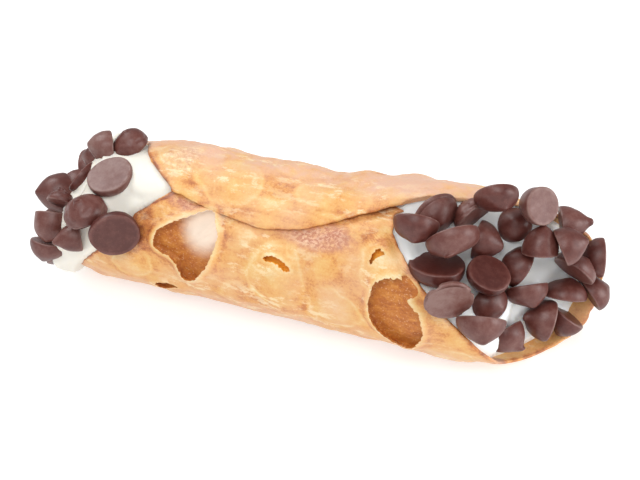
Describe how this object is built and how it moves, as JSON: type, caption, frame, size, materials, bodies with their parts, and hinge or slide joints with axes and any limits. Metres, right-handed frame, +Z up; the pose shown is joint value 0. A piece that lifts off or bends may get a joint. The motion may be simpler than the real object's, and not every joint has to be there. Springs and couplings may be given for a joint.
{
  "type": "filled cannoli",
  "caption": "Fried dough tube with slanted open ends, filled from end to end with pale cream, with chocolate chips pressed into the cream at both ends.",
  "frame": {"origin": "on the surface that the roll rests on, under the middle of the whole part's bounding box", "axes": "+X along the roll towards its wider, more slanted open end; +Z up; -Y towards the side where both open ends are cut back furthest"},
  "size_m": [0.1387, 0.0431, 0.0458],
  "materials": {
    "fried_dough": "blistered golden fried crust, satin with a little oil",
    "ricotta_cream": "smooth moist cream, satin",
    "chocolate": "satin chocolate, a little dusty"
  },
  "bodies": {
    "root": {"shell": "fried_dough", "cream": "ricotta_cream", "chip_01": "chocolate", "chip_02": "chocolate", "chip_03": "chocolate", "chip_04": "chocolate", "chip_05": "chocolate", "chip_06": "chocolate", "chip_07": "chocolate", "chip_08": "chocolate", "chip_09": "chocolate", "chip_10": "chocolate", "chip_11": "chocolate", "chip_12": "chocolate", "chip_13": "chocolate", "chip_14": "chocolate", "chip_15": "chocolate", "chip_16": "chocolate", "chip_17": "chocolate", "chip_18": "chocolate", "chip_19": "chocolate", "chip_20": "chocolate", "chip_21": "chocolate", "chip_22": "chocolate", "chip_23": "chocolate", "chip_24": "chocolate", "chip_25": "chocolate", "chip_26": "chocolate", "chip_27": "chocolate", "chip_28": "chocolate", "chip_29": "chocolate", "chip_30": "chocolate", "chip_31": "chocolate", "chip_32": "chocolate", "chip_33": "chocolate", "chip_34": "chocolate", "chip_35": "chocolate", "chip_36": "chocolate", "chip_37": "chocolate", "chip_38": "chocolate", "chip_39": "chocolate", "chip_40": "chocolate", "chip_41": "chocolate", "chip_42": "chocolate", "chip_43": "chocolate"}
  },
  "joints": []
}
